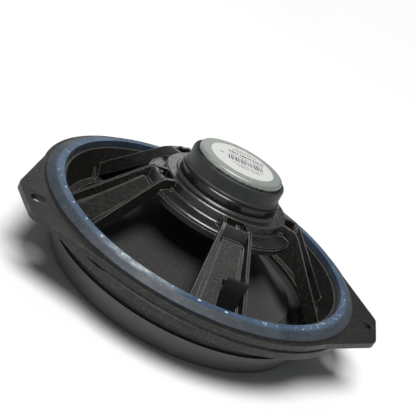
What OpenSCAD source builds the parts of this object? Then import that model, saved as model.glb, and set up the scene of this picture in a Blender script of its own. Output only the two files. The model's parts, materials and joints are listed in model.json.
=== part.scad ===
// Coaxial door loudspeaker, 165 mm class, lying on its front ring.
// +Z points to the rear, where the magnet is. The origin is on the speaker's
// axis, in the plane of the front rim. Units are millimetres.

/* [Flange] */
// Height of the flange's rear face above the front rim
flange_z = 32.4; // [31:0.1:35]
// Outer radius of the flange
flange_r = 88.4; // [88:0.1:90]
// Thickness of the flange plate and of the ears
flange_t = 3; // [2.5:0.1:4]
// Depth of the turned-down edge of the flange
edge_drop = 8; // [6:0.1:9]
// Inner radius of the flange's opening
mouth_r = 76; // [75.5:0.1:77]

/* [Ears] */
// Half of the distance between the two fixing holes
hole_x = 87.1; // [86:0.1:88]
// Distance of the line through the holes from the speaker's axis
hole_y = -36.3; // [-37:0.1:-35]
// Radius of the fixing holes
hole_r = 3.6; // [3:0.1:4.2]
// Radius of each ear's outer corner
ear_far_r = 7; // [4:0.5:9]
// Radius of each ear's lower corner
ear_near_r = 9; // [4:0.5:10]

/* [Rear gasket] */
// Inner radius of the gasket
gasket_in_r = 78; // [77:0.1:79]
// Outer radius of the gasket
gasket_out_r = 86; // [85:0.1:87]
// Thickness of the gasket
gasket_t = 3.3; // [2:0.1:5]

/* [Front ring] */
// Height of the front ring
ring_h = 13.1; // [12:0.1:14]
// Radius of the front ring at its front edge
ring_front_r = 71.4; // [70:0.1:73]
// Radius of the front ring where it meets the basket
ring_back_r = 75.9; // [75:0.1:77]
// Radius of the ring's clear opening
ring_open_r = 67.5; // [66:0.1:68]

/* [Spokes] */
// Number of spokes
spoke_count = 5; // [4:1:6]
// Radius at which a spoke bends down
knee_r = 40.9; // [40:0.1:42]
// Height of the spoke's ribs at the bend
knee_z = 56.8; // [56:0.1:57.2]
// Fall of the spoke per unit of radius
spoke_fall = 1.037; // [1:0.005:1.05]
// Half width of a spoke at the hub
spoke_half_hub = 6.2; // [5.5:0.1:7]
// Half width of a spoke at the bend
spoke_half_knee = 7.54; // [7:0.1:8]
// Half width of a spoke at the rim
spoke_half_rim = 17; // [16:0.1:18]
// Thickness of the ribs along a spoke's sides
rib_t = 1.6; // [1.4:0.1:2]

/* [Hub] */
// Height of the hub's top face
hub_z = 57.4; // [57:0.1:58]
// Radius of the hub's top face
hub_r = 33.4; // [33:0.1:34.5]
// Radius of the lower step that carries the spider
tier_r = 40.4; // [40:0.1:41]
// Height of the lower step at the hub's wall
tier_z = 52.2; // [51.5:0.1:52.6]

/* [Motor] */
// Thickness of the top plate above its seat
plate_t = 6.2; // [5:0.1:6.5]
// Radius of the top plate
plate_r = 26.8; // [26:0.1:28]
// Radius of the magnet
magnet_r = 24; // [22:0.1:24.5]
// Thickness of the magnet
magnet_t = 5.8; // [5:0.1:8]
// Radius of the back plate
back_r = 22.7; // [22:0.1:23]
// Thickness of the back plate
back_t = 5.1; // [4:0.1:6]
// Outer radius of the rubber boot
boot_r = 25.2; // [25:0.1:26]
// Radius of the pole
pole_r = 12.4; // [12:0.05:12.5]
// Inner radius of the top plate's hole
gap_r = 14.1; // [14.05:0.05:14.5]
// Radius of the rear label
label_r = 17.3; // [12:0.1:18]

/* [Cone] */
// Radius of the cone's rim
cone_rim_r = 58; // [57:0.1:59]
// Height of the cone's rim
cone_rim_z = 15.4; // [15:0.1:16]
// Radius of the cone's neck
cone_neck_r = 12.95; // [12.95:0.05:13.2]
// Height of the cone's neck
cone_neck_z = 42; // [40:0.1:43]
// Thickness of the cone's paper
cone_t = 0.7; // [0.5:0.05:1.2]
// How much the cone curves: 1 is straight
cone_curve = 1.15; // [1:0.05:1.25]

/* [Tweeter] */
// Radius of the tweeter's housing
tweeter_r = 17; // [16:0.1:19]
// Height of the tweeter housing's front edge
tweeter_z = 4.5; // [4.5:0.1:6]
// Depth of the tweeter's housing
tweeter_h = 15; // [14:0.1:16]

/* [Connector] */
// Width of the connector
plug_w = 10.4; // [9:0.1:11]
// Distance of the connector's outer wall from the axis
plug_r = 62; // [61:0.1:63]
// Height of the outer wall's top edge
plug_top = 42; // [40:0.1:44]
// Room for the plug between the outer wall and the spoke
plug_room = 5; // [4:0.1:5.5]
// Thickness of the outer wall
plug_wall = 1.4; // [0.9:0.1:1.8]

/* [Hidden] */
$fn = 120;

// Levels of the motor, from the hub to the rear
plate_z = hub_z - 1;
magnet_z = plate_z + plate_t;
back_z = magnet_z + magnet_t;
rear_z = back_z + back_t;
boot_top = rear_z - 2.45;

// Basket details
edge_t = 2.4;
wall_t = 2.4;
seat_r = 72.4;
seat_z = ring_h + 0.9;
ledge_z = seat_z + 2.2;
ledge_wall_r = 71.6;
hub_bore = 20;
plate_clear = 0.2;
collar_h = 0.7;
tier_bottom = 46.8;
window_r = 78;
spoke_step = 360 / spoke_count;
spoke_first = -90;

// Levels inside a spoke, below the tops of its ribs
panel_drop = 3.9;
bead_drop = 4.6;
floor_drop = 6;
under_drop = 9.6;
deck_z = 52.6;
cross_r = 39.6;
step_r = 43.4;
panel_half_knee = 4.6;
panel_half_rim = 9.6;
bead_w = 0.9;
nub_r = 1.1;
bead_line = [[hub_r - 1, 5.4], [knee_r, 6.2], [window_r, 11.3]];

// Cone
cone_foot_r = cone_rim_r - 3.4;
cone_skin_z = 1.3 * cone_t;
cone_steps = 10;

// Voice coil and suspension
former_r = 12.75;
former_t = 0.2;
coil_r = 13.75;
coil_z = 54.4;
coil_h = 9;
spider_z = tier_bottom - 0.5;
spider_t = 0.5;
spider_out_r = 40.4;
spider_waves = 6;
surround_t = 0.6;
roll_in_r = 58.4;
roll_h = 4.4;

// Tweeter levels
chamber_z = tweeter_z + tweeter_h - 1.5;
shelf_z = 6.8;
dome_r = 6.9;
dome_rise = 2.2;
dome_edge_r = 10.4;
motor_r = 8.2;
tail_r = 3.15;
post_r = 4;
post_bore = 1.8;

// Leads
lead_r = 0.7;
lead_sides = 8;
eyelet_r = 31;
eyelet_turns = [1.5, 14.5];

function rib_z(r) = knee_z - spoke_fall * (r - knee_r);
function cone_z(r) = cone_rim_z + (cone_neck_z - cone_rim_z)
    * pow(max(0, cone_foot_r - r) / (cone_foot_r - cone_neck_r), cone_curve);
function unit(v) = v / norm(v);

// ---------- shared shapes ----------

module turned(points) rotate_extrude() polygon(points);

module tube(r_out, r_in, z0, z1) {
    difference() {
        translate([0, 0, z0]) cylinder(r = r_out, h = z1 - z0);
        translate([0, 0, z0 - 1]) cylinder(r = r_in, h = z1 - z0 + 2);
    }
}

module round_spokes() for (i = [0:spoke_count - 1]) rotate([0, 0, spoke_first + i * spoke_step]) children();

// A prism whose section lies in the radial plane, for a spoke along +X
module side_prism(points, half = 30)
    rotate([90, 0, 0]) linear_extrude(height = 2 * half, center = true) polygon(points);

module plan_prism(points) translate([0, 0, 5]) linear_extrude(height = 60) polygon(points);

// A swept tube along a list of points, closed at both ends
function frame_side(d) = unit(cross(abs(d[0]) < 0.9 ? [1, 0, 0] : [0, 1, 0], d));
function heading(path, i) = unit(path[min(i + 1, len(path) - 1)] - path[max(i - 1, 0)]);
function ring_points(path, i, r) = let (d = heading(path, i), s = frame_side(d), t = cross(d, s))
    [for (k = [0:lead_sides - 1]) let (a = k * 360 / lead_sides) path[i] + r * (cos(a) * s + sin(a) * t)];

module swept(path, r) {
    rings = [for (i = [0:len(path) - 1]) each ring_points(path, i, r)];
    last = (len(path) - 1) * lead_sides;
    sides = [for (i = [0:len(path) - 2]) for (k = [0:lead_sides - 1])
        let (a = i * lead_sides + k, b = i * lead_sides + (k + 1) % lead_sides)
        [a, a + lead_sides, b + lead_sides, b]];
    ends = [[for (k = [0:lead_sides - 1]) k], [for (k = [lead_sides - 1:-1:0]) last + k]];
    polyhedron(points = rings, faces = concat(sides, ends), convexity = 4);
}

// ---------- basket ----------

ear_far = [96.9, -27.4];
ear_near = [88.6, -51.4];
ear_top = [85.9, 18];
ear_foot = [41.5, -76.6];

// Half of the angle at the corner v, between edges from a and to b
function half_angle(a, v, b) = acos(unit(a - v) * unit(b - v)) / 2;

// Centre of the circle that rounds the corner, and the point where the round meets the edge from a
function corner_centre(a, v, b, r) = v + unit(unit(a - v) + unit(b - v)) * r / sin(half_angle(a, v, b));
function corner_cut(a, v, b, r) = v + unit(a - v) * r / tan(half_angle(a, v, b));

module ear_outline() {
    polygon([[60, 0], ear_top, corner_cut(ear_top, ear_far, ear_near, ear_far_r),
        corner_cut(ear_near, ear_far, ear_top, ear_far_r),
        corner_cut(ear_far, ear_near, ear_foot, ear_near_r),
        corner_cut(ear_foot, ear_near, ear_far, ear_near_r), ear_foot]);
    translate(corner_centre(ear_top, ear_far, ear_near, ear_far_r)) circle(r = ear_far_r);
    translate(corner_centre(ear_far, ear_near, ear_foot, ear_near_r)) circle(r = ear_near_r);
}

module ears() {
    translate([0, 0, flange_z - flange_t]) linear_extrude(height = flange_t) difference() {
        union() {
            ear_outline();
            mirror([1, 0]) ear_outline();
        }
        circle(r = window_r);
    }
}

module rim_ring() {
    edge_z = flange_z - edge_drop;
    under_z = flange_z - flange_t;
    turned([[mouth_r, flange_z], [flange_r, flange_z], [flange_r, flange_z - 2.3],
        [flange_r - 0.9, flange_z - 3.1], [flange_r - 0.9, flange_z - 3.9], [flange_r - 0.2, flange_z - 4.6],
        [flange_r - 0.2, edge_z], [flange_r - edge_t, edge_z], [flange_r - edge_t, under_z],
        [mouth_r + wall_t + 0.4, under_z], [seat_r + 2.2, ring_h], [seat_r, ring_h], [seat_r, seat_z],
        [ring_open_r, seat_z], [ring_open_r, ledge_z], [ledge_wall_r, ledge_z]]);
}

module hub() {
    turned([[hub_bore, hub_z - 3], [hub_bore, plate_z], [plate_r + plate_clear, plate_z],
        [plate_r + plate_clear, hub_z + collar_h], [plate_r + 1.1, hub_z + collar_h], [plate_r + 1.7, hub_z],
        [hub_r - 0.5, hub_z], [hub_r, hub_z - 0.5], [hub_r, tier_z + 0.5],
        [hub_r + 0.5, tier_z], [tier_r - 1.6, tier_z - 0.8], [tier_r - 0.5, tier_z - 1.2],
        [tier_r, tier_z - 1.7], [tier_r, tier_z - 2], [tier_r - 0.8, tier_z - 2.2],
        [tier_r - 0.8, tier_z - 2.6],
        [tier_r + 0.2, tier_z - 2.8], [tier_r + 0.2, tier_bottom], [hub_r - wall_t, tier_bottom],
        [hub_r - wall_t, hub_z - 3]]);
}

// Plan of one side strip of a spoke between two offsets measured inward from its outer line
function strip(side, a, b) = [
    [hub_r - 1, side * (spoke_half_hub - a)], [knee_r, side * (spoke_half_knee - a)],
    [window_r, side * (spoke_half_rim - a)], [window_r, side * (spoke_half_rim - b)],
    [knee_r, side * (spoke_half_knee - b)], [hub_r - 1, side * (spoke_half_hub - b)]];

module spoke_rib(side) {
    intersection() {
        plan_prism(strip(side, 0, rib_t));
        side_prism([[hub_r - 1, hub_z - 0.4], [knee_r - 0.6, knee_z], [knee_r + 0.5, rib_z(knee_r + 0.5)],
            [window_r, rib_z(window_r)], [window_r, rib_z(window_r) - under_drop],
            [knee_r, knee_z - under_drop], [hub_r - 1, knee_z - under_drop]]);
    }
}

// One layer of a spoke's web, with half widths at the bend and at the rim
module spoke_layer(drop, half_knee, half_rim) {
    intersection() {
        plan_prism([[hub_r - 1, -half_knee], [knee_r, -half_knee], [window_r, -half_rim],
            [window_r, half_rim], [knee_r, half_knee], [hub_r - 1, half_knee]]);
        sloped_slab(drop, under_drop);
    }
}

// The room between two drops below the line of the ribs, from the bend to the rim
module sloped_slab(top, bottom) {
    side_prism([[knee_r - 0.6, rib_z(step_r) - top], [step_r, rib_z(step_r) - top],
        [window_r, rib_z(window_r) - top], [window_r, rib_z(window_r) - bottom],
        [knee_r, knee_z - bottom], [knee_r - 0.6, knee_z - bottom]]);
}

// A narrow bead on each side of the raised panel
module spoke_bead(side) {
    intersection() {
        plan_prism([for (p = bead_line) [p[0], side * (p[1] - bead_w / 2)],
            for (i = [len(bead_line) - 1:-1:0]) [bead_line[i][0], side * (bead_line[i][1] + bead_w / 2)]]);
        sloped_slab(bead_drop, under_drop);
    }
}

// The recessed deck between the hub and the cross rib at the bend
module spoke_deck() {
    intersection() {
        plan_prism([[hub_r - 1, -spoke_half_hub + 0.5], [knee_r, -spoke_half_knee + 0.5],
            [knee_r, spoke_half_knee - 0.5], [hub_r - 1, spoke_half_hub - 0.5]]);
        side_prism([[hub_r - 1, deck_z], [cross_r - 0.6, deck_z], [cross_r - 0.6, knee_z - 0.4],
            [knee_r, knee_z - 0.4], [knee_r + 1, knee_z - under_drop], [hub_r - 1, knee_z - under_drop]]);
    }
}

module spoke() {
    for (side = [-1, 1]) spoke_rib(side);
    for (side = [-1, 1]) spoke_bead(side);
    spoke_layer(floor_drop, spoke_half_knee - 1, spoke_half_rim - 1);
    spoke_layer(panel_drop, panel_half_knee, panel_half_rim);
    spoke_deck();
    translate([cross_r, 0, knee_z - 1]) cylinder(r = nub_r, h = 1.9);
}

// Small fins between a spoke's foot and the barrel's wall
fin_turn = 15.5;
fin_h = 9.5;
module foot_fin(side) {
    rotate([0, 0, side * fin_turn]) translate([mouth_r - 7, 0, ledge_z - 0.5])
        side_prism([[0, 0], [6, 0], [8.6, fin_h], [6, fin_h]], half = 0.6);
}

// Heat-staked posts on the tier, one on each side of a spoke
stake_turn = 12.4;
module stake_post(side)
    rotate([0, 0, side * stake_turn]) translate([hub_r + 1.5, 0, tier_z - 0.9]) cylinder(r = 0.9, h = 2.1);

module basket() color([0.13, 0.13, 0.13]) {
    difference() {
        union() {
            rim_ring();
            ears();
            hub();
            intersection() {
                round_spokes() spoke();
                spoke_envelope();
            }
            round_spokes() for (side = [-1, 1]) foot_fin(side);
            round_spokes() for (side = [-1, 1]) stake_post(side);
        }
        for (side = [-1, 1]) translate([side * hole_x, hole_y, 0]) cylinder(r = hole_r, h = 60);
        rotate([0, 0, spoke_first]) plug_pocket();
    }
}

// Room that the spokes may fill: outside the hub's wall, inside the barrel's, above the ledge
module spoke_envelope() {
    turned([[hub_r - 1, tier_bottom], [hub_r - 1, hub_z], [cross_r, hub_z], [mouth_r + 0.6, flange_z - 1],
        [ledge_wall_r + 0.6, seat_z + 0.2], [ring_open_r, seat_z + 0.2], [ring_open_r, ledge_z],
        [tier_r, tier_bottom]]);
}

// ---------- front ring and rear gasket ----------

module front_ring() color([0.2, 0.2, 0.21]) {
    wall = 2.5;
    slope = (ring_back_r - ring_front_r) / ring_h;
    turned([[ring_front_r - wall, 0], [ring_front_r - 0.5, 0], [ring_front_r, 0.6],
        [ring_back_r, ring_h], [ring_open_r, ring_h], [ring_open_r, ring_h - 2.2],
        [ring_front_r - wall + slope * 9.4, 9.4]]);
}

module rear_gasket() color([0.28, 0.37, 0.48]) {
    middle_r = (gasket_in_r + gasket_out_r) / 2;
    turned([[gasket_in_r, flange_z], [gasket_out_r, flange_z], [gasket_out_r, flange_z + 1],
        [middle_r, flange_z + gasket_t], [gasket_in_r, flange_z + gasket_t]]);
}

// ---------- suspension ----------

roll_steps = 14;
roll_mid = (roll_in_r + ring_open_r) / 2;
roll_half = (ring_open_r - roll_in_r) / 2;
function roll_point(i, t) = let (a = 180 * i / roll_steps)
    [roll_mid - (roll_half - t) * cos(a), ring_h + 0.3 - (roll_h - t) * sin(a)];

module surround() color([0.16, 0.16, 0.15]) {
    outside = [for (i = [0:roll_steps]) roll_point(i, 0)];
    inside = [for (i = [roll_steps:-1:0]) roll_point(i, surround_t)];
    turned(concat(
        [[cone_rim_r - 4, cone_rim_z - 1], [roll_in_r, cone_rim_z - 1]],
        outside,
        [[ring_open_r, ring_h], [seat_r - 0.1, ring_h], [seat_r - 0.1, seat_z], [ring_open_r - 0.6, seat_z]],
        inside,
        [[roll_in_r + 0.6, cone_rim_z - 0.4], [cone_rim_r - 4, cone_rim_z - 0.4]]));
}

// The spider's waves run between two radii; outside them it lies flat on its landing
spider_wave_r = 17;
spider_wave_end = 35.5;
spider_flat_r = 36;
function spider_r(k) = spider_wave_r + k * (spider_wave_end - spider_wave_r) / (2 * spider_waves);
function spider_point(k, rise) = [spider_r(k), spider_z + rise + (k % 2 == 0 ? -1.1 : 0.1)];

module spider() color([0.12, 0.12, 0.11]) {
    upper = [for (k = [0:2 * spider_waves]) spider_point(k, spider_t / 2)];
    lower = [for (k = [2 * spider_waves:-1:0]) spider_point(k, -spider_t / 2)];
    landing = [[spider_flat_r, spider_z + spider_t], [spider_out_r, spider_z + spider_t],
        [spider_out_r, spider_z], [spider_flat_r, spider_z]];
    turned(concat([[former_r + former_t, spider_z]], upper, landing, lower,
        [[former_r + former_t, spider_z - spider_t]]));
}

// ---------- motor ----------

module top_plate() color([0.05, 0.05, 0.05]) {
    turned([[gap_r, plate_z], [plate_r, plate_z], [plate_r, magnet_z - 0.5],
        [plate_r - 0.5, magnet_z], [gap_r, magnet_z]]);
}

module magnet() color([0.16, 0.16, 0.17]) tube(magnet_r, gap_r + 1.4, magnet_z, back_z);

module yoke() color([0.72, 0.74, 0.7]) {
    bore_r = tail_r + 0.05;
    turned([[bore_r, plate_z - 0.5], [pole_r - 0.5, plate_z - 0.5], [pole_r, plate_z], [pole_r, back_z],
        [back_r, back_z], [back_r, rear_z - 1], [back_r - 0.3, rear_z - 0.3], [back_r - 1, rear_z],
        [bore_r, rear_z]]);
}

module magnet_boot() color([0.19, 0.2, 0.2]) {
    lip_r = back_r + 0.5;
    turned([[magnet_r + 0.05, magnet_z], [boot_r + 0.6, magnet_z], [boot_r + 0.6, magnet_z + 0.9],
        [boot_r, magnet_z + 1.5], [boot_r, boot_top - 1.2], [boot_r - 0.3, boot_top - 0.4],
        [boot_r - 0.9, boot_top], [lip_r + 0.9, boot_top], [lip_r, boot_top - 1.1], [lip_r, back_z + 0.1],
        [magnet_r + 0.05, back_z + 0.1]]);
}

module rear_label() color([0.92, 0.93, 0.9]) translate([0, 0, rear_z]) cylinder(r = label_r, h = 0.12);

// ---------- connector ----------

plug_back = plug_r - plug_wall - plug_room;
plug_foot = 28;
plug_floor = 34.6;
wall_foot = 25;
pocket_end_r = 70.4;
blade_t = 0.8;
blade_w = 2.2;
terminal_r = plug_r - plug_wall - plug_room / 2;
terminal_top = plug_top - 1.8;
terminal_foot = 25.5;
terminal_gap = 4.6;
terminal_sides = [(plug_w - terminal_gap) / 2, (plug_w + terminal_gap) / 2];

module blade(z0, z1) for (y = terminal_sides)
    translate([terminal_r - blade_t / 2, y - blade_w / 2, z0]) cube([blade_t, blade_w, z1 - z0]);

// A floor with two slots, and a tall outer wall that the plug slides down behind
module connector_housing() color([0.04, 0.04, 0.05]) rotate([0, 0, spoke_first]) {
    difference() {
        translate([plug_back, 0, plug_foot]) cube([plug_room + 1, plug_w, plug_floor - plug_foot]);
        blade(plug_foot - 1, plug_floor + 1);
    }
    translate([plug_r - plug_wall, 0, wall_foot]) cube([plug_wall, plug_w, plug_top - wall_foot]);
}

module terminal_blades() color([0.78, 0.7, 0.45])
    rotate([0, 0, spoke_first]) blade(terminal_foot, terminal_top);

// The way through the spoke that holds the connector, open as far as the rim
module plug_pocket() translate([plug_back, 0, wall_foot - 6]) cube([pocket_end_r - plug_back, plug_w, 40]);

// ---------- leads from the terminals to the cone ----------

// Route of a lead: distance from the axis along the spoke, and height
lead_route = [[terminal_r, terminal_foot], [58.1, 24.3], [57.6, 23.2], [56.3, 22.4], [54, 22.3], [51, 23.2],
    [48, 24.8], [45, 26.6], [42, 28.6], [39, 30.8], [36.4, 32.8], [34.4, 33.9], [32.7, 34.2]];

function lead_side(r, k) = let (share = (terminal_r - r) / (terminal_r - eyelet_r))
    terminal_sides[k] + share * (eyelet_r * sin(eyelet_turns[k]) - terminal_sides[k]);

module tinsel_leads() color([0.75, 0.45, 0.3]) rotate([0, 0, spoke_first])
    for (k = [0, 1]) swept([for (p = lead_route) [p[0], lead_side(p[0], k), p[1]]], lead_r);

// ---------- cone body ----------

function cone_r(i) = cone_neck_r + (cone_foot_r - cone_neck_r) * i / cone_steps;

module cone() color([0.1, 0.1, 0.1]) {
    front = [for (i = [cone_steps:-1:0]) [cone_r(i), cone_z(cone_r(i))]];
    rear = [for (i = [1:cone_steps - 1]) [cone_r(i), cone_z(cone_r(i)) + cone_skin_z]];
    rim = [[cone_foot_r, cone_rim_z + cone_t], [cone_rim_r, cone_rim_z + cone_t], [cone_rim_r, cone_rim_z]];
    turned(concat(rear, rim, front, [[cone_neck_r, cone_neck_z + cone_skin_z]]));
}

module coil_former() color([0.75, 0.75, 0.72])
    tube(former_r + former_t, former_r, cone_neck_z - 1.5, coil_z + coil_h);

module voice_coil() color([0.7, 0.38, 0.2]) tube(coil_r, former_r + former_t, coil_z, coil_z + coil_h);

eyelet_pad_r = 1.5;
eyelet_pitch = atan((cone_z(eyelet_r - eyelet_pad_r) - cone_z(eyelet_r + eyelet_pad_r)) / (2 * eyelet_pad_r));

// Eyelets that stand square on the cone's rear face
module lead_eyelets() color([0.8, 0.66, 0.3]) rotate([0, 0, spoke_first])
    for (turn = eyelet_turns) rotate([0, 0, turn]) translate([eyelet_r, 0, cone_z(eyelet_r) + cone_skin_z])
        rotate([0, eyelet_pitch, 0]) translate([0, 0, 0.1]) cylinder(r = eyelet_pad_r, h = 1);

// ---------- tweeter ----------

module tweeter_post() color([0.1, 0.1, 0.1]) {
    tube(post_r, post_bore, chamber_z, plate_z - 0.5);
    tube(tail_r, post_bore, plate_z - 0.5, rear_z - 0.3);
}

module tweeter_housing() color([0.08, 0.08, 0.08]) {
    top = tweeter_z + tweeter_h;
    turned([[tweeter_r, tweeter_z], [tweeter_r, tweeter_z + 5], [tweeter_r - 0.8, tweeter_z + 8],
        [tweeter_r - 3.4, top - 1], [tweeter_r - 4.6, top], [post_r + 3, top], [post_r + 1.4, top + 1.5],
        [post_r + 1.2, top + 5], [post_r, top + 5], [post_r, chamber_z], [tweeter_r - 5.2, chamber_z],
        [tweeter_r - 2.6, shelf_z + 4.6], [tweeter_r - 1.6, shelf_z + 1.6], [motor_r, shelf_z + 1.6],
        [motor_r, shelf_z], [tweeter_r - 1.6, shelf_z], [tweeter_r - 1.6, tweeter_z]]);
}

module tweeter_yoke() color([0.7, 0.7, 0.72]) difference() {
    translate([0, 0, shelf_z + 0.2]) cylinder(r = motor_r, h = 4.4);
    translate([0, 0, shelf_z - 1]) cylinder(r = 7.05, h = 4.4);
}

module tweeter_magnet() color([0.6, 0.6, 0.62]) translate([0, 0, shelf_z + 1.6]) cylinder(r = 5.4, h = 1.8);

module tweeter_pole_plate() color([0.55, 0.55, 0.57])
    translate([0, 0, shelf_z + 0.3]) cylinder(r = 5.85, h = 1.3);

module tweeter_coil() color([0.75, 0.4, 0.2]) tube(6.65, 6.25, shelf_z - 0.15, shelf_z + 1.9);

// Radius of the sphere of which the dome is a part
dome_sphere = (dome_r * dome_r + dome_rise * dome_rise) / (2 * dome_rise);

module tweeter_dome() color([0.5, 0.5, 0.48]) intersection() {
    translate([0, 0, shelf_z - 0.15 - dome_rise + dome_sphere]) difference() {
        sphere(r = dome_sphere);
        sphere(r = dome_sphere - 0.3);
    }
    translate([0, 0, shelf_z - 0.15 - dome_rise - 1]) cylinder(r = dome_r, h = dome_rise + 1);
}

module tweeter_surround() color([0.2, 0.2, 0.2])
    turned([[dome_r + 0.15, shelf_z - 0.4], [dome_r + 0.9, shelf_z - 0.9], [dome_r + 1.6, shelf_z - 0.5],
        [dome_r + 1.9, shelf_z - 0.4], [dome_edge_r, shelf_z - 0.4], [dome_edge_r, shelf_z],
        [dome_r + 1.5, shelf_z], [dome_r + 0.9, shelf_z - 0.5],
        [dome_r + 0.4, shelf_z - 0.1], [dome_r + 0.15, shelf_z - 0.1]]);

module tweeter_guard() color([0.09, 0.09, 0.09]) {
    turned([[9, shelf_z - 0.4], [9, shelf_z - 1.4], [11.4, tweeter_z - 2.4], [14.6, tweeter_z - 3],
        [tweeter_r - 0.6, tweeter_z - 2.4], [tweeter_r, tweeter_z - 1.4], [tweeter_r, tweeter_z],
        [tweeter_r - 1.8, tweeter_z], [tweeter_r - 1.8, shelf_z - 0.4]]);
    for (i = [0:2]) rotate([0, 0, 30 + i * 120]) translate([0, -0.8, tweeter_z - 2.9]) cube([12.2, 1.6, 1.3]);
    translate([0, 0, tweeter_z - 2.9]) cylinder(r = 2.6, h = 1.3);
}

module capacitor() color([0.15, 0.2, 0.4])
    translate([6.2, -5.5, 14.6]) rotate([-90, 0, 0]) cylinder(r = 2.9, h = 11);

module tweeter_leads() color([0.6, 0.12, 0.1]) {
    foot_z = chamber_z - 2;
    for (side = [-1, 1])
        translate([side * 0.8, 0, foot_z]) cylinder(r = 0.6, h = rear_z - 1.5 - foot_z, $fn = 24);
}

// ---------- assembly ----------

basket();
front_ring();
rear_gasket();
surround();
spider();
top_plate();
magnet();
yoke();
magnet_boot();
rear_label();
connector_housing();
terminal_blades();
tinsel_leads();
tweeter_post();
tweeter_housing();
tweeter_yoke();
tweeter_magnet();
tweeter_pole_plate();
tweeter_guard();
tweeter_surround();
capacitor();
tweeter_leads();
cone();
coil_former();
voice_coil();
lead_eyelets();
tweeter_dome();
tweeter_coil();
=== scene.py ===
# Looks for the coaxial door loudspeaker: materials, soft parts, small details, light and camera.
import json
import math
import random

import bpy
from mathutils import Matrix, Vector


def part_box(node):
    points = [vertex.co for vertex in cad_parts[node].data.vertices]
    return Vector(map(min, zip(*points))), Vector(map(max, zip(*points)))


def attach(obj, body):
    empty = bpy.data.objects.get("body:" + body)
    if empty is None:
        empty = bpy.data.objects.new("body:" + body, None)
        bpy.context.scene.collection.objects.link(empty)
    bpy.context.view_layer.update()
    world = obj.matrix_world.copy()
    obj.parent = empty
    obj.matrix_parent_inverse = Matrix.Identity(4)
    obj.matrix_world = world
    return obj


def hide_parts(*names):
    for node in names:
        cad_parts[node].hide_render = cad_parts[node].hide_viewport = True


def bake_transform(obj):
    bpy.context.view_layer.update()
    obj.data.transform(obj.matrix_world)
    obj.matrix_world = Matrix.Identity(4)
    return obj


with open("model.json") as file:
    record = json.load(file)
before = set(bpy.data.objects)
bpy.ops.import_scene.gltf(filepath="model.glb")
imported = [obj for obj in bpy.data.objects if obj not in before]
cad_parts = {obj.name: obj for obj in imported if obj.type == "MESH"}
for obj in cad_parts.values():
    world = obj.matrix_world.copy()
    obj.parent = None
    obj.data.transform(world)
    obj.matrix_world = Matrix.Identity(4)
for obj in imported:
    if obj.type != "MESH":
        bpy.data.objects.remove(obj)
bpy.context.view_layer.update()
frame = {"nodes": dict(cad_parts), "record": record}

MM = 0.001
NODES = frame["nodes"]


# ---------- measures taken from the frame ----------

def low(node):
    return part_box(node)[0]


def high(node):
    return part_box(node)[1]


RIM_Z = low("rear_gasket").z
GASKET_TOP = high("rear_gasket").z
LABEL_TOP = high("rear_label").z
CONE_R = high("cone").x
CONE_RIM_Z = low("cone").z
FRONT_RING_TOP = high("front_ring").z


# ---------- camera ----------

CAMERA_AZIMUTH = math.radians(-18.31)
CAMERA_ELEVATION = math.radians(21.42)
CAMERA_ROLL = math.radians(29.18)
CAMERA_DISTANCE = 411.6 * MM
CAMERA_SIDE = 1.6 * MM
CAMERA_RISE = 10.6 * MM
CAMERA_LENS = 69.4
SENSOR = 36.0


def make_camera():
    """A long lens that looks at the rim's centre from low on the left, rolled anticlockwise."""
    az, el = CAMERA_AZIMUTH, CAMERA_ELEVATION
    back = Vector((math.sin(az) * math.cos(el), -math.cos(az) * math.cos(el), math.sin(el)))
    right = Vector((math.cos(az), math.sin(az), 0))
    up = back.cross(right)
    turned_right = math.cos(CAMERA_ROLL) * right + math.sin(CAMERA_ROLL) * up
    turned_up = -math.sin(CAMERA_ROLL) * right + math.cos(CAMERA_ROLL) * up
    shift = CAMERA_SIDE * turned_right + CAMERA_RISE * turned_up + CAMERA_DISTANCE * back
    place = Vector((0, 0, RIM_Z)) + shift
    data = bpy.data.cameras.new("camera")
    data.lens = CAMERA_LENS
    data.sensor_width = SENSOR
    camera = bpy.data.objects.new("camera", data)
    axes = Matrix((turned_right, turned_up, back)).transposed().to_4x4()
    camera.matrix_world = Matrix.Translation(place) @ axes
    bpy.context.scene.collection.objects.link(camera)
    bpy.context.scene.camera = camera


# ---------- material kit ----------

MATERIALS = {}  # every material that Nodes makes, by its name, which is also its slot's name
WAVE_UNIT = 3.2  # a wave texture of scale 1 has about this many bands in a unit


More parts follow.
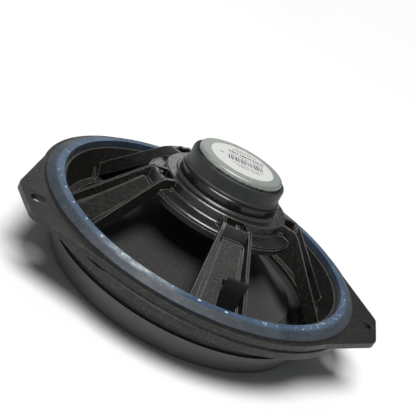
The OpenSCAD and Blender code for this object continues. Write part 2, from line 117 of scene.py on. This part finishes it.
class Nodes:
    """A short way to write a node tree around one Principled shader."""

    def __init__(self, name):
        self.material = MATERIALS[name] = bpy.data.materials.new(name)
        self.material.use_nodes = True
        self.tree = self.material.node_tree
        self.shader = self.tree.nodes["Principled BSDF"]
        self.coords = self.tree.nodes.new("ShaderNodeTexCoord").outputs["Object"]

    def add(self, kind, inputs=None, **settings):
        node = self.tree.nodes.new(kind)
        for key, value in settings.items():
            setattr(node, key, value)
        for key, value in (inputs or {}).items():
            self.feed(node.inputs[key], value)
        return node

    def feed(self, socket, value):
        if isinstance(value, bpy.types.NodeSocket):
            self.tree.links.new(value, socket)
        else:
            socket.default_value = value

    def noise(self, size, detail=3.0, rough=0.55, stretch=(1, 1, 1)):
        """Noise whose features are about size metres across, stretched along the axes."""
        mapping = self.add("ShaderNodeMapping", {"Vector": self.coords, "Scale": stretch})
        inputs = {"Vector": mapping.outputs["Vector"], "Scale": 1 / size, "Detail": detail,
                  "Roughness": rough}
        return self.add("ShaderNodeTexNoise", inputs).outputs["Fac"]

    def waves(self, axis, pitch, distortion=0.0, detail=2.0):
        """Sine bands across an axis, repeating about every pitch metres."""
        inputs = {"Vector": self.coords, "Scale": 1 / (pitch * WAVE_UNIT), "Distortion": distortion,
                  "Detail": detail}
        return self.add("ShaderNodeTexWave", inputs, bands_direction=axis).outputs["Fac"]

    def cells(self, size):
        inputs = {"Vector": self.coords, "Scale": 1 / size}
        return self.add("ShaderNodeTexVoronoi", inputs).outputs["Distance"]

    def ramp(self, value, stops):
        """A ramp over value; each stop is a place and a grey or a colour."""
        node = self.add("ShaderNodeValToRGB", {"Fac": value})
        ramp = node.color_ramp
        while len(ramp.elements) < len(stops):
            ramp.elements.new(0.5)
        for element, (place, colour) in zip(ramp.elements, stops):
            element.position = place
            element.color = (colour, colour, colour, 1) if isinstance(colour, float) else (*colour, 1)
        return node.outputs["Color"]

    def blend(self, factor, a, b):
        node = self.add("ShaderNodeMix", data_type="RGBA")
        for index, value in ((0, factor), (6, a), (7, b)):
            self.feed(node.inputs[index], (*value, 1) if isinstance(value, tuple) else value)
        return node.outputs[2]

    def math(self, operation, a, b=0.0):
        node = self.add("ShaderNodeMath", operation=operation)
        self.feed(node.inputs[0], a)
        self.feed(node.inputs[1], b)
        return node.outputs[0]

    def vector_math(self, operation, a, b=(0, 0, 0)):
        return self.add("ShaderNodeVectorMath", {0: a, 1: b}, operation=operation)

    def radius(self):
        """Distance from the speaker's axis, in tenths of a metre, to suit a ramp's range of 0 to 1."""
        flat = self.vector_math("MULTIPLY", self.coords, (1, 1, 0)).outputs[0]
        return self.math("MULTIPLY", self.vector_math("LENGTH", flat).outputs["Value"], 10.0)

    def height(self):
        return self.add("ShaderNodeSeparateXYZ", {"Vector": self.coords}).outputs["Z"]

    def edge_mask(self, size):
        """1 along sharp edges, within size metres of them, and 0 on open faces."""
        rounded = self.add("ShaderNodeBevel", {"Radius": size}, samples=6).outputs["Normal"]
        flat = self.add("ShaderNodeNewGeometry").outputs["Normal"]
        along = self.vector_math("DOT_PRODUCT", rounded, flat).outputs["Value"]
        return self.ramp(along, [(0.86, 1.0), (0.985, 0.0)])

    def relief(self, heights, edge=0.0):
        """Bumps, each a height output and its depth in metres. edge is the radius that rounds corners."""
        normal = None
        if edge:
            normal = self.add("ShaderNodeBevel", {"Radius": edge}, samples=6).outputs["Normal"]
        for value, depth in heights:
            node = self.add("ShaderNodeBump", {"Height": value, "Distance": depth, "Strength": 1.0})
            if normal is not None:
                self.feed(node.inputs["Normal"], normal)
            normal = node.outputs["Normal"]
        self.feed(self.shader.inputs["Normal"], normal)

    def set(self, **values):
        names = {"color": "Base Color", "rough": "Roughness", "metal": "Metallic",
                 "spec": "Specular IOR Level", "sheen": "Sheen Weight", "sheen_rough": "Sheen Roughness"}
        for key, value in values.items():
            if isinstance(value, tuple):
                value = (*value, 1)
            self.feed(self.shader.inputs[names[key]], value)
        return self.material


def moulded_plastic(name, dark, light, grain):
    """Black moulded plastic: a fine spark-eroded grain, faint flow marks and dusty variation."""
    n = Nodes(name)
    flow = n.noise(22 * MM, 4)
    speck = n.noise(grain * 2.2, 2)
    colour = n.blend(n.ramp(flow, [(0.3, 0.0), (0.72, 1.0)]), dark, light)
    colour = n.blend(n.ramp(speck, [(0.5, 0.0), (0.74, 0.55)]), colour, tuple(c * 1.9 for c in light))
    gloss = n.ramp(n.noise(7 * MM, 3), [(0.3, 0.42), (0.75, 0.6)])
    n.relief([(n.noise(grain, 2), 0.018 * MM), (n.noise(9 * MM, 2), 0.05 * MM)], 0.45 * MM)
    return n.set(color=colour, rough=gloss, spec=0.5)


def basket_plastic():
    """Black plastic with a dusty brown-grey bloom: smooth round the hub, grainy on the spokes."""
    n = Nodes("basket_plastic")
    bloom = n.ramp(n.noise(26 * MM, 5, 0.6), [(0.32, 0.0), (0.72, 1.0)])
    colour = n.blend(bloom, (0.008, 0.0082, 0.0076), (0.018, 0.0178, 0.0156))
    across = n.radius()
    near_hub = n.ramp(across, [(0.40, 1.0), (0.44, 0.0)])
    away = n.math("SUBTRACT", 1.0, n.math("MULTIPLY", near_hub, 0.85))
    fibre = n.ramp(n.noise(1.3 * MM, 4, 0.75), [(0.5, 0.0), (0.72, 0.85)])
    colour = n.blend(n.math("MULTIPLY", fibre, away), colour, (0.072, 0.071, 0.063))
    scuff = n.ramp(n.noise(3.2 * MM, 7, 0.75), [(0.64, 0.0), (0.72, 0.3)])
    colour = n.blend(n.math("MULTIPLY", scuff, away), colour, (0.11, 0.107, 0.096))
    # Painted highlight, with some edge wear: sharp edges are painted pale, strongly on the spokes inside
    # about 77 mm and faintly on the flange, standing in for glints along the ribs.
    painted_highlight = n.math("MULTIPLY", n.edge_mask(0.5 * MM), n.ramp(across, [(0.77, 0.8), (0.79, 0.15)]))
    colour = n.blend(painted_highlight, colour, (0.30, 0.295, 0.275))
    dull = n.ramp(n.noise(8 * MM, 4), [(0.3, 0.38), (0.75, 0.52)])
    polished = n.ramp(n.noise(5 * MM, 3), [(0.3, 0.22), (0.75, 0.32)])
    grain = n.math("MULTIPLY", n.noise(0.8 * MM, 4, 0.7), away)
    n.relief([(grain, 0.16 * MM), (n.noise(9 * MM, 2), 0.05 * MM)], 0.4 * MM)
    spec = n.ramp(near_hub, [(0.0, 0.4), (1.0, 0.7)])
    return n.set(color=colour, rough=n.blend(near_hub, dull, polished), spec=spec)


def smooth_plastic(name, dark, light):
    """Smoother dark plastic with fine turning-like drag marks and scuffs."""
    n = Nodes(name)
    drag = n.noise(5 * MM, 3, stretch=(1, 1, 9))
    scuff = n.ramp(n.noise(2.4 * MM, 6, 0.7), [(0.62, 0.0), (0.7, 1.0)])
    colour = n.blend(drag, dark, light)
    colour = n.blend(n.math("MULTIPLY", scuff, 0.25), colour, tuple(c * 1.7 for c in light))
    gloss = n.ramp(n.noise(1.2 * MM, 4), [(0.3, 0.4), (0.75, 0.56)])
    n.relief([(n.noise(0.25 * MM, 2), 0.006 * MM), (drag, 0.02 * MM)], 0.35 * MM)
    return n.set(color=colour, rough=gloss, spec=0.5)


# Centre of the pale painted highlight on the foam gasket's flat band
HIGHLIGHT_PLACE = (-42.7 * MM, -66.7 * MM, 35.7 * MM)
HIGHLIGHT_FALL = 30.0  # per metre away from that place


def foam_gasket():
    """Skinned foam: the flat inside painted a paler slate-blue than the greyer slope outside, as a painted
    sheen, with cells and a pale painted highlight patch.
    """
    n = Nodes("gasket_foam")
    wander = n.math("MULTIPLY", n.math("SUBTRACT", n.noise(9 * MM, 3), 0.5), 0.022)
    across = n.math("ADD", n.radius(), wander)
    outer = n.ramp(across, [(0.808, 0.0), (0.828, 1.0)])
    bloom = n.ramp(n.noise(15 * MM, 5, 0.6), [(0.34, 0.0), (0.7, 1.0)])
    # Painted sheen: the flat inner band gets a paler slate-blue than the darker grey outer slope, standing
    # in for the sheen the flat band catches.
    blue = n.blend(bloom, (0.040, 0.074, 0.125), (0.085, 0.132, 0.200))
    grey = n.blend(bloom, (0.026, 0.034, 0.043), (0.050, 0.060, 0.073))
    colour = n.blend(outer, blue, grey)
    chalky = n.ramp(n.noise(1.6 * MM, 6, 0.7), [(0.58, 0.0), (0.74, 0.5)])
    colour = n.blend(chalky, colour, (0.24, 0.30, 0.36))
    # Painted highlight: a pale patch painted on the flat inner band around that place, standing in for the
    # foam's glint.
    reach = n.math("MULTIPLY", n.vector_math("DISTANCE", n.coords, HIGHLIGHT_PLACE).outputs["Value"], HIGHLIGHT_FALL)
    near = n.ramp(reach, [(0.1, 1.0), (0.75, 0.0)])
    painted_highlight = n.math("MULTIPLY", near, n.math("SUBTRACT", 1.0, outer))
    patchy_highlight = n.math("MULTIPLY", painted_highlight, n.ramp(n.noise(5 * MM, 6, 0.7), [(0.36, 0.15), (0.62, 0.95)]))
    colour = n.blend(patchy_highlight, colour, (0.55, 0.60, 0.60))
    pores = n.ramp(n.cells(0.5 * MM), [(0.05, 0.0), (0.35, 1.0)])
    colour = n.blend(n.math("MULTIPLY", n.math("SUBTRACT", 1.0, pores), 0.4), colour, (0.03, 0.042, 0.06))
    n.relief([(pores, 0.02 * MM), (n.noise(3 * MM, 3), 0.10 * MM)], 0.5 * MM)
    gloss = n.ramp(n.noise(4 * MM, 3), [(0.3, 0.42), (0.75, 0.58)])
    return n.set(color=colour, rough=gloss, spec=0.4, sheen=0.1, sheen_rough=0.4)


def soft_rubber(name, dark, light, rough=(0.55, 0.75), grain=0.2 * MM):
    n = Nodes(name)
    colour = n.blend(n.ramp(n.noise(11 * MM, 5, 0.6), [(0.3, 0.0), (0.7, 1.0)]), dark, light)
    dust = n.ramp(n.noise(0.7 * MM, 5, 0.75), [(0.6, 0.0), (0.8, 0.6)])
    colour = n.blend(dust, colour, tuple(c * 1.6 for c in light))
    gloss = n.ramp(n.noise(3 * MM, 3), [(0.3, rough[0]), (0.7, rough[1])])
    n.relief([(n.noise(grain, 3), 0.012 * MM), (n.noise(6 * MM, 2), 0.06 * MM)], 0.3 * MM)
    return n.set(color=colour, rough=gloss, spec=0.4, sheen=0.1)


ZINC_EDGE = 2.5 * MM


def zinc_plate():
    """Zinc-plated steel with a pale green passivation, patchily darker and browner down its side."""
    n = Nodes("zinc_steel")
    cloud = n.noise(6 * MM, 6, 0.65)
    colour = n.blend(cloud, (0.36, 0.41, 0.375), (0.52, 0.56, 0.505))
    drop = n.math("MULTIPLY", n.math("SUBTRACT", LABEL_TOP, n.height()), 1 / ZINC_EDGE)
    side = n.ramp(drop, [(0.35, 0.0), (0.95, 1.0)])
    # The side below the top face is painted patchily dark brown, more so further down.
    side_darkening = n.math("MULTIPLY", side, n.ramp(n.noise(2.5 * MM, 5), [(0.35, 0.2), (0.65, 1.0)]))
    colour = n.blend(side_darkening, colour, (0.085, 0.072, 0.055))
    brush = n.noise(0.5 * MM, 4, stretch=(1, 1, 0.2))
    n.relief([(brush, 0.006 * MM), (n.noise(2.5 * MM, 3), 0.02 * MM)], 0.5 * MM)
    gloss = n.ramp(cloud, [(0.3, 0.34), (0.7, 0.52)])
    return n.set(color=colour, rough=gloss, metal=0.75)


def gloss_black():
    n = Nodes("black_steel")
    colour = n.blend(n.noise(3 * MM, 4), (0.004, 0.004, 0.0045), (0.011, 0.011, 0.0115))
    n.relief([(n.noise(2.5 * MM, 3), 0.012 * MM)], 0.35 * MM)
    return n.set(color=colour, rough=n.ramp(n.noise(5 * MM, 3), [(0.3, 0.16), (0.7, 0.28)]), spec=0.5)


def bare_metal(name, dark, light, rough=(0.25, 0.42)):
    n = Nodes(name)
    cloud = n.noise(2.5 * MM, 5)
    n.relief([(n.noise(0.3 * MM, 3, stretch=(1, 1, 0.2)), 0.004 * MM)], 0.2 * MM)
    gloss = n.ramp(cloud, [(0.3, rough[0]), (0.7, rough[1])])
    return n.set(color=n.blend(cloud, dark, light), rough=gloss, metal=1.0)


def sintered_ferrite():
    n = Nodes("ferrite")
    grain = n.noise(0.4 * MM, 5)
    n.relief([(grain, 0.03 * MM)], 0.4 * MM)
    return n.set(color=n.blend(grain, (0.03, 0.03, 0.032), (0.08, 0.08, 0.085)), rough=0.7)


def paper_cone():
    """Pressed pulp: long mottled fibres over a fine felted grain."""
    n = Nodes("cone_paper")
    fibre = n.noise(1.1 * MM, 8, 0.75)
    mottle = n.noise(9 * MM, 4)
    pale = n.ramp(fibre, [(0.35, 0.0), (0.7, 1.0)])
    colour = n.blend(pale, (0.009, 0.0092, 0.0086), (0.040, 0.040, 0.038))
    colour = n.blend(n.math("MULTIPLY", mottle, 0.4), colour, (0.022, 0.022, 0.021))
    n.relief([(fibre, 0.09 * MM), (n.noise(0.25 * MM, 3), 0.03 * MM)])
    return n.set(color=colour, rough=0.8, spec=0.3, sheen=0.2, sheen_rough=0.6)


THREAD_PITCH = 0.55 * MM


def woven_cloth(name, dark, light):
    """A plain weave laid square to the axes, stiffened with resin."""
    n = Nodes(name)
    weave = n.math("MAXIMUM", n.waves("X", THREAD_PITCH, 0.4, 1.0), n.waves("Y", THREAD_PITCH, 0.4, 1.0))
    colour = n.blend(weave, dark, light)
    colour = n.blend(n.math("MULTIPLY", n.noise(5 * MM, 4), 0.4), colour, dark)
    n.relief([(weave, 0.08 * MM)])
    return n.set(color=colour, rough=0.62, spec=0.4, sheen=0.2)


def label_stock():
    n = Nodes("label_paper")
    cloud = n.noise(8 * MM, 4)
    n.relief([(n.noise(0.3 * MM, 3), 0.004 * MM), (n.noise(5 * MM, 2), 0.04 * MM)])
    colour = n.blend(cloud, (0.60, 0.61, 0.59), (0.67, 0.675, 0.655))
    return n.set(color=colour, rough=n.ramp(cloud, [(0.3, 0.45), (0.7, 0.6)]), spec=0.4)


def plain_ink():
    n = Nodes("label_ink")
    speck = n.ramp(n.noise(0.35 * MM, 4), [(0.4, 0.0), (0.65, 1.0)])
    return n.set(color=n.blend(speck, (0.012, 0.012, 0.013), (0.07, 0.07, 0.07)), rough=0.5)


WIRE_PITCH = 0.24 * MM


def wound_wire(name):
    """Enamelled copper wound in a close helix."""
    n = Nodes(name)
    turns = n.waves("Z", WIRE_PITCH)
    n.relief([(turns, 0.06 * MM)])
    return n.set(color=n.blend(turns, (0.25, 0.08, 0.03), (0.72, 0.34, 0.14)), rough=0.3, metal=0.9)


def thin_film(name, dark, light, rough=0.35):
    n = Nodes(name)
    cloud = n.noise(2 * MM, 4)
    n.relief([(n.noise(0.6 * MM, 3), 0.01 * MM)], 0.15 * MM)
    return n.set(color=n.blend(cloud, dark, light), rough=rough, spec=0.5)


def braided_lead():
    """Fine copper wires, crossing one another along a lead."""
    n = Nodes("copper_braid")
    pitch = 1.4 * MM / WAVE_UNIT
    braid = n.math("MULTIPLY", n.waves("DIAGONAL", pitch, 0.6), n.waves("X", pitch, 0.6))
    n.relief([(braid, 0.08 * MM)])
    return n.set(color=n.blend(braid, (0.16, 0.08, 0.04), (0.62, 0.36, 0.2)), rough=0.45, metal=0.6)


def make_materials():
    basket_plastic()
    smooth_plastic("ring_plastic", (0.085, 0.087, 0.086), (0.125, 0.127, 0.126))
    foam_gasket()
    soft_rubber("surround_rubber", (0.018, 0.018, 0.0165), (0.036, 0.0355, 0.032), grain=0.3 * MM)
    woven_cloth("spider_cloth", (0.015, 0.015, 0.014), (0.05, 0.048, 0.042))
    gloss_black()
    sintered_ferrite()
    zinc_plate()
    soft_rubber("boot_rubber", (0.014, 0.0155, 0.015), (0.028, 0.031, 0.030), rough=(0.46, 0.62))
    label_stock()
    moulded_plastic("connector_plastic", (0.008, 0.009, 0.01), (0.02, 0.021, 0.022), 0.25 * MM)
    bare_metal("tinned_brass", (0.55, 0.46, 0.28), (0.78, 0.72, 0.55))
    braided_lead()
    moulded_plastic("tweeter_plastic", (0.012, 0.012, 0.012), (0.026, 0.026, 0.026), 0.3 * MM)
    bare_metal("bright_steel", (0.42, 0.42, 0.43), (0.62, 0.62, 0.63))
    bare_metal("nickel", (0.5, 0.48, 0.44), (0.66, 0.64, 0.6), rough=(0.15, 0.25))
    thin_film("dome_film", (0.16, 0.16, 0.165), (0.24, 0.24, 0.245))
    thin_film("capacitor_sleeve", (0.015, 0.03, 0.1), (0.03, 0.05, 0.15), rough=0.25)
    thin_film("red_wire", (0.35, 0.03, 0.025), (0.5, 0.05, 0.04), rough=0.4)
    paper_cone()
    thin_film("former_film", (0.35, 0.22, 0.08), (0.5, 0.34, 0.14), rough=0.3)
    wound_wire("coil_wire")


def dress_nodes():
    """Gives every CAD node the procedural material of its slot."""
    for part in frame["record"]["subparts"]:
        node = NODES[part["node"]]
        node.data.materials.clear()
        node.data.materials.append(MATERIALS[part["material_slot"]])


# ---------- mesh kit ----------

def new_piece(name, verts, faces, material, smooth=True):
    mesh = bpy.data.meshes.new(name)
    mesh.from_pydata(verts, [], faces)
    mesh.update()
    mesh.polygons.foreach_set("use_smooth", [smooth] * len(mesh.polygons))
    mesh.materials.append(material)
    piece = bpy.data.objects.new(name, mesh)
    bpy.context.scene.collection.objects.link(piece)
    return piece


CREASE = math.radians(38)


def profile_normals(points):
    """For each segment of a closed (radius, height) outline, the normals at its two ends."""
    count = len(points)
    flat = []
    for i in range(count):
        (r0, z0), (r1, z1) = points[i], points[(i + 1) % count]
        flat.append(Vector((z1 - z0, r0 - r1)).normalized())
    ends = []
    for i in range(count):
        pair = []
        for other in (flat[i - 1], flat[(i + 1) % count]):
            soft = flat[i].angle(other, 0) < CREASE
            pair.append((flat[i] + other).normalized() if soft else flat[i])
        ends.append(pair)
    return ends


def lathe_sector(name, points, material, start, stop, steps):
    """Part of a ring: a closed outline, anticlockwise in radius and height, turned between two angles."""
    count = len(points)
    angles = [start + (stop - start) * j / steps for j in range(steps + 1)]
    verts = [(r * math.cos(a), r * math.sin(a), z) for a in angles for r, z in points]
    faces, normals = [], []
    ends = profile_normals(points)

    def spun(normal, angle):
        return Vector((normal.x * math.cos(angle), normal.x * math.sin(angle), normal.y))

    for j in range(steps):
        for i in range(count):
            k = (i + 1) % count
            faces.append((j * count + i, (j + 1) * count + i, (j + 1) * count + k, j * count + k))
            at_start, at_end = ends[i]
            normals += [spun(at_start, angles[j]), spun(at_start, angles[j + 1])]
            normals += [spun(at_end, angles[j + 1]), spun(at_end, angles[j])]
    for j, sign in ((0, -1), (steps, 1)):
        side = Vector((-math.sin(angles[j]), math.cos(angles[j]), 0)) * sign
        first, last = j * count, j * count + count - 1
        for i in range(count // 2 - 1):
            quad = [first + i, first + i + 1, last - 1 - i, last - i]
            faces.append(tuple(quad if sign < 0 else reversed(quad)))
            normals += [side] * 4
    piece = new_piece(name, verts, faces, material)
    piece.data.normals_split_custom_set(normals)
    return piece


def ring_of_sectors(name, outline, node, slot, count, steps):
    """A ring between the frame and the cone, built as separate sectors, each turned over its own span of
    angle.
    """
    half = math.pi / count
    for i in range(count):
        middle = 2 * half * i
        piece = lathe_sector(f"{name}_{i:02d}", outline, MATERIALS[slot],
                             middle - half, middle + half, steps)
        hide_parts(node)
        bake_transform(piece)


# ---------- suspension ----------

ROLL_IN_R = 58.4 * MM
ROLL_OUT_R = 67.5 * MM
ROLL_DEPTH = 4.4 * MM
ROLL_STEPS = 28
ROLL_REAR_LIFT = 0.25 * MM
ROLL_EDGE_LIFT = 0.3 * MM
SURROUND_T = 0.6 * MM
FOOT_WIDTH = 4 * MM
FOOT_LOW, FOOT_HIGH = 1.0 * MM, 0.45 * MM
CLAMP_R = 72.3 * MM
CLAMP_T = 0.9 * MM


def surround_outline():
    """Foot on the cone, half roll towards the front, and clamped edge."""
    foot_z = CONE_RIM_Z - FOOT_LOW
    rise = FRONT_RING_TOP + ROLL_EDGE_LIFT - foot_z
    middle = (ROLL_IN_R + ROLL_OUT_R) / 2
    half = (ROLL_OUT_R - ROLL_IN_R) / 2
    front = [(CONE_R - FOOT_WIDTH, foot_z)]
    rear = [(CONE_R - FOOT_WIDTH, CONE_RIM_Z - FOOT_HIGH)]
    for i in range(ROLL_STEPS + 1):
        a = math.pi * i / ROLL_STEPS
        level = foot_z + rise * i / ROLL_STEPS
        for line, inset, lift in ((front, 0.0, 0.0), (rear, SURROUND_T, ROLL_REAR_LIFT)):
            r = middle - (half - inset) * math.cos(a)
            line.append((r, level - (ROLL_DEPTH - inset) * math.sin(a) + lift))
    front.append((CLAMP_R, FRONT_RING_TOP))
    rear.append((CLAMP_R, FRONT_RING_TOP + CLAMP_T))
    return front + rear[::-1]


def make_surround():
    ring_of_sectors("surround_sector", surround_outline(), "surround", "surround_rubber", 24, 4)


SPIDER_WAVES = 6
SPIDER_WAVE_STEPS = 10
SPIDER_IN_R = 17 * MM
SPIDER_OUT_R = 35.5 * MM
SPIDER_NECK_R = 12.95 * MM
SPIDER_T = 0.4 * MM
SPIDER_LANDING_T = 0.5 * MM
SPIDER_SWING = 0.6 * MM
SPIDER_GAP = 0.05 * MM


def spider_outline():
    """Corrugations between the former and the landing under the hub."""
    rest = high("spider").z - SPIDER_LANDING_T
    steps = SPIDER_WAVES * SPIDER_WAVE_STEPS
    line = [(SPIDER_NECK_R, rest - 0.3 * MM)]
    for i in range(steps + 1):
        r = SPIDER_IN_R + (SPIDER_OUT_R - SPIDER_IN_R) * i / steps
        swing = SPIDER_SWING * math.cos(2 * math.pi * i / SPIDER_WAVE_STEPS)
        line.append((r, rest - 0.5 * MM + swing))
    line.append((high("spider").x - SPIDER_GAP, rest + SPIDER_GAP))
    upper = [(r, z + SPIDER_T) for r, z in line]
    return line + upper[::-1]


def make_spider():
    ring_of_sectors("spider_sector", spider_outline(), "spider", "spider_cloth", 12, 8)


# ---------- leads ----------

# A lead's middle line: distance from the axis and height, in millimetres, from its terminal to its eyelet
LEAD_LINE = ((58.1, 25.5), (58.1, 24.3), (57.6, 23.2), (56.3, 22.4), (54, 22.3), (51, 23.2), (48, 24.8),
             (45, 26.6), (42, 28.6), (39, 30.8), (36.4, 32.8), (34.4, 33.9), (32.7, 34.2))
BLADE_HALF = 1.1 * MM
EYELET_HALF = 1.5 * MM
EYELET_R = 31 * MM
STRAND_R = 0.31 * MM
STRAND_TURN_R = 0.36 * MM
STRAND_PITCH = 3.2 * MM
STRANDS = 3


def smooth_line(points, steps):
    """Points along a Catmull-Rom curve that passes through the given points."""
    line = []
    for i in range(len(points) - 1):
        a, b, c, d = (points[min(max(i + k, 0), len(points) - 1)] for k in (-1, 0, 1, 2))
        for j in range(steps):
            t = j / steps
            line.append(0.5 * (2 * b + (c - a) * t + (2 * a - 5 * b + 4 * c - d) * t * t
                               + (3 * b - 3 * c + d - a) * t ** 3))
    line.append(points[-1])
    return line


def make_leads():
    """Two leads, each of three twisted strands, running from a fixed terminal to a moving eyelet."""
    ends = ((low("terminal_blades").x + BLADE_HALF, low("lead_eyelets").x + EYELET_HALF),
            (high("terminal_blades").x - BLADE_HALF, high("lead_eyelets").x - EYELET_HALF))
    sides = 8
    start_r = LEAD_LINE[0][0] * MM
    for index, (x_start, x_end) in enumerate(ends):
        route = []
        for r, z in LEAD_LINE:
            share = (start_r - r * MM) / (start_r - EYELET_R)
            route.append(Vector((x_start + share * (x_end - x_start), -r * MM, z * MM)))
        middle = smooth_line(route, 8)
        verts, faces = [], []
        for strand in range(STRANDS):
            base, travelled = len(verts), 0.0
            for i, point in enumerate(middle):
                ahead = (middle[min(i + 1, len(middle) - 1)] - middle[max(i - 1, 0)]).normalized()
                side = (Vector((1, 0, 0)) - ahead * ahead.x).normalized()
                up = ahead.cross(side)
                travelled += (point - middle[max(i - 1, 0)]).length
                turn = 2 * math.pi * (travelled / STRAND_PITCH + strand / STRANDS)
                centre = point + STRAND_TURN_R * (math.cos(turn) * side + math.sin(turn) * up)
                for k in range(sides):
                    a = 2 * math.pi * k / sides
                    verts.append(centre + STRAND_R * (math.cos(a) * side + math.sin(a) * up))
            last = base + (len(middle) - 1) * sides
            for i in range(len(middle) - 1):
                for k in range(sides):
                    m, row = (k + 1) % sides, base + i * sides
                    faces.append((row + k, row + m, row + sides + m, row + sides + k))
            faces.append(tuple(base + k for k in reversed(range(sides))))
            faces.append(tuple(last + k for k in range(sides)))
        piece = new_piece(f"tinsel_lead_{index}", verts, faces, MATERIALS["copper_braid"])
        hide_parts("tinsel_leads")
        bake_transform(piece)


# ---------- label print ----------

LABEL_TURN = math.radians(-3)
INK_T = 0.015 * MM
BAR_START, BAR_STOP, BAR_LOW, BAR_H = -7.8, 11.6, -3.2, 5.8
BAR_WIDTHS, BAR_GAPS = (0.26, 0.4, 0.4, 0.65), (0.26, 0.34, 0.5, 0.75)
DASH_WIDTHS, DASH_GAPS = (0.55, 0.8, 1.0, 1.3), (0.3, 0.4, 0.8)
# Rows of dashes, in millimetres: foot, start, stop and height
DASH_ROWS = ((4.2, -6, 12.4, 0.8), (7.0, -7, 12, 1.8), (11.2, -5, 9.4, 0.8), (13.2, -3, 6.4, 0.7),
             (-6.2, -6, 10, 0.7), (-8.6, -4, 8, 0.7), (1.0, -12.4, -10.8, 1.0))


def make_label_print():
    """Generic marks: one band of upright bars and rows of short dashes, with no letters."""
    rng = random.Random(11)
    c, s = math.cos(LABEL_TURN), math.sin(LABEL_TURN)
    verts, faces = [], []

    def mark(x, y, w, h):
        base = len(verts)
        for z in (LABEL_TOP, LABEL_TOP + INK_T):
            for cx, cy in ((x, y), (x + w, y), (x + w, y + h), (x, y + h)):
                verts.append((c * cx - s * cy, s * cx + c * cy, z))
        for face in ((3, 2, 1, 0), (4, 5, 6, 7), (0, 1, 5, 4), (1, 2, 6, 5), (2, 3, 7, 6), (3, 0, 4, 7)):
            faces.append(tuple(base + i for i in face))

    def mark_row(y, start, stop, h, widths, gaps):
        x = start
        while x < stop:
            w = rng.choice(widths)
            mark(x * MM, y * MM, w * MM, h * MM)
            x += w + rng.choice(gaps)

    mark_row(BAR_LOW, BAR_START, BAR_STOP, BAR_H, BAR_WIDTHS, BAR_GAPS)
    for y, start, stop, h in DASH_ROWS:
        mark_row(y, start, stop, h, DASH_WIDTHS, DASH_GAPS)
    piece = new_piece("label_print", verts, faces, plain_ink(), smooth=False)
    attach(piece, "frame")


# ---------- gasket specks ----------

def chalk():
    n = Nodes("speck_white")
    grain = n.noise(0.3 * MM, 3)
    n.relief([(grain, 0.03 * MM)])
    return n.set(color=n.blend(grain, (0.62, 0.66, 0.7), (0.85, 0.87, 0.9)), rough=0.6)


SPECK_SIDES = 10
# Each ring of a speck: its share of the radius, and its height over the gasket in millimetres
SPECK_RINGS = ((1.0, -0.01), (0.92, 0.05), (0.55, 0.09))


def speck_places(rng):
    """Angle, distance from the axis and radius of each speck: even on the left, crowded on the right."""
    spots = [(-164 + 9.2 * i, 79.6 + rng.uniform(-0.5, 0.5), rng.uniform(0.35, 0.6)) for i in range(9)]
    spots += [(rng.uniform(-80, -12), rng.uniform(79.0, 81.0), rng.uniform(0.12, 0.36)) for _ in range(40)]
    spots += [(rng.uniform(0, 190), rng.uniform(78.8, 81.2), rng.uniform(0.12, 0.26)) for _ in range(20)]
    return spots


def make_specks():
    """Dabs of dried adhesive along the gasket's flat band."""
    rng = random.Random(4)
    verts, faces = [], []
    for degrees, r, size in speck_places(rng):
        a = math.radians(degrees)
        base = len(verts)
        wide = rng.uniform(1.0, 1.7)
        for scale, lift in SPECK_RINGS:
            for k in range(SPECK_SIDES):
                t = 2 * math.pi * k / SPECK_SIDES
                du, dv = size * scale * wide * math.cos(t), size * scale * math.sin(t)
                x = r * math.cos(a) - du * math.sin(a) + dv * math.cos(a)
                y = r * math.sin(a) + du * math.cos(a) + dv * math.sin(a)
                verts.append((x * MM, y * MM, GASKET_TOP + lift * MM))
        for ring in range(len(SPECK_RINGS) - 1):
            for k in range(SPECK_SIDES):
                m = (k + 1) % SPECK_SIDES
                low_ring, high_ring = base + ring * SPECK_SIDES, base + (ring + 1) * SPECK_SIDES
                faces.append((low_ring + k, low_ring + m, high_ring + m, high_ring + k))
        top = base + (len(SPECK_RINGS) - 1) * SPECK_SIDES
        faces.append(tuple(top + k for k in range(SPECK_SIDES)))
        faces.append(tuple(base + k for k in reversed(range(SPECK_SIDES))))
    piece = new_piece("gasket_specks", verts, faces, chalk())
    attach(piece, "frame")


# ---------- light and floor ----------

def make_floor():
    n = Nodes("floor_pale")
    n.relief([(n.noise(40 * MM, 2), 0.02 * MM)])
    cloud = n.noise(0.5, 2)
    material = n.set(color=n.blend(cloud, (0.86, 0.86, 0.86), (0.88, 0.88, 0.88)), rough=0.8, spec=0.2)
    half = 6.0
    verts = [(-half, -half, 0), (half, -half, 0), (half, half, 0), (-half, half, 0)]
    new_piece("floor", verts, [(0, 1, 2, 3)], material, smooth=False)


def area_light(name, place, target, size, power):
    data = bpy.data.lights.new(name, "AREA")
    data.shape = "RECTANGLE"
    data.size, data.size_y = size
    data.energy = power
    light = bpy.data.objects.new(name, data)
    light.location = place
    light.rotation_euler = (Vector(place) - Vector(target)).to_track_quat("Z", "Y").to_euler()
    bpy.context.scene.collection.objects.link(light)


def make_light():
    """A broad soft sun high above, a softbox behind for glints, a low one on the left, and a dim room."""
    world = bpy.data.worlds.new("studio")
    world.use_nodes = True
    background = world.node_tree.nodes["Background"]
    background.inputs["Color"].default_value = (0.93, 0.97, 1.0, 1)
    background.inputs["Strength"].default_value = 0.11
    scene = bpy.context.scene
    scene.world = world
    scene.view_settings.view_transform = "Standard"
    key = bpy.data.lights.new("high_key", "SUN")
    key.energy = 3.5
    key.angle = math.radians(32)
    sun = bpy.data.objects.new("high_key", key)
    sun.rotation_euler = Vector((-0.15, -0.24, 0.96)).to_track_quat("Z", "Y").to_euler()
    scene.collection.objects.link(sun)
    area_light("hub_glint", (0.10, 0.86, 0.36), (0, 0, 0.057), (0.5, 0.12), 0.45)
    area_light("left_fill", (-0.9, -0.40, 0.03), (0, 0, 0.01), (0.4, 0.05), 0.5)


make_camera()
make_light()
make_floor()
make_materials()
dress_nodes()
make_surround()
make_spider()
make_leads()
make_label_print()
make_specks()
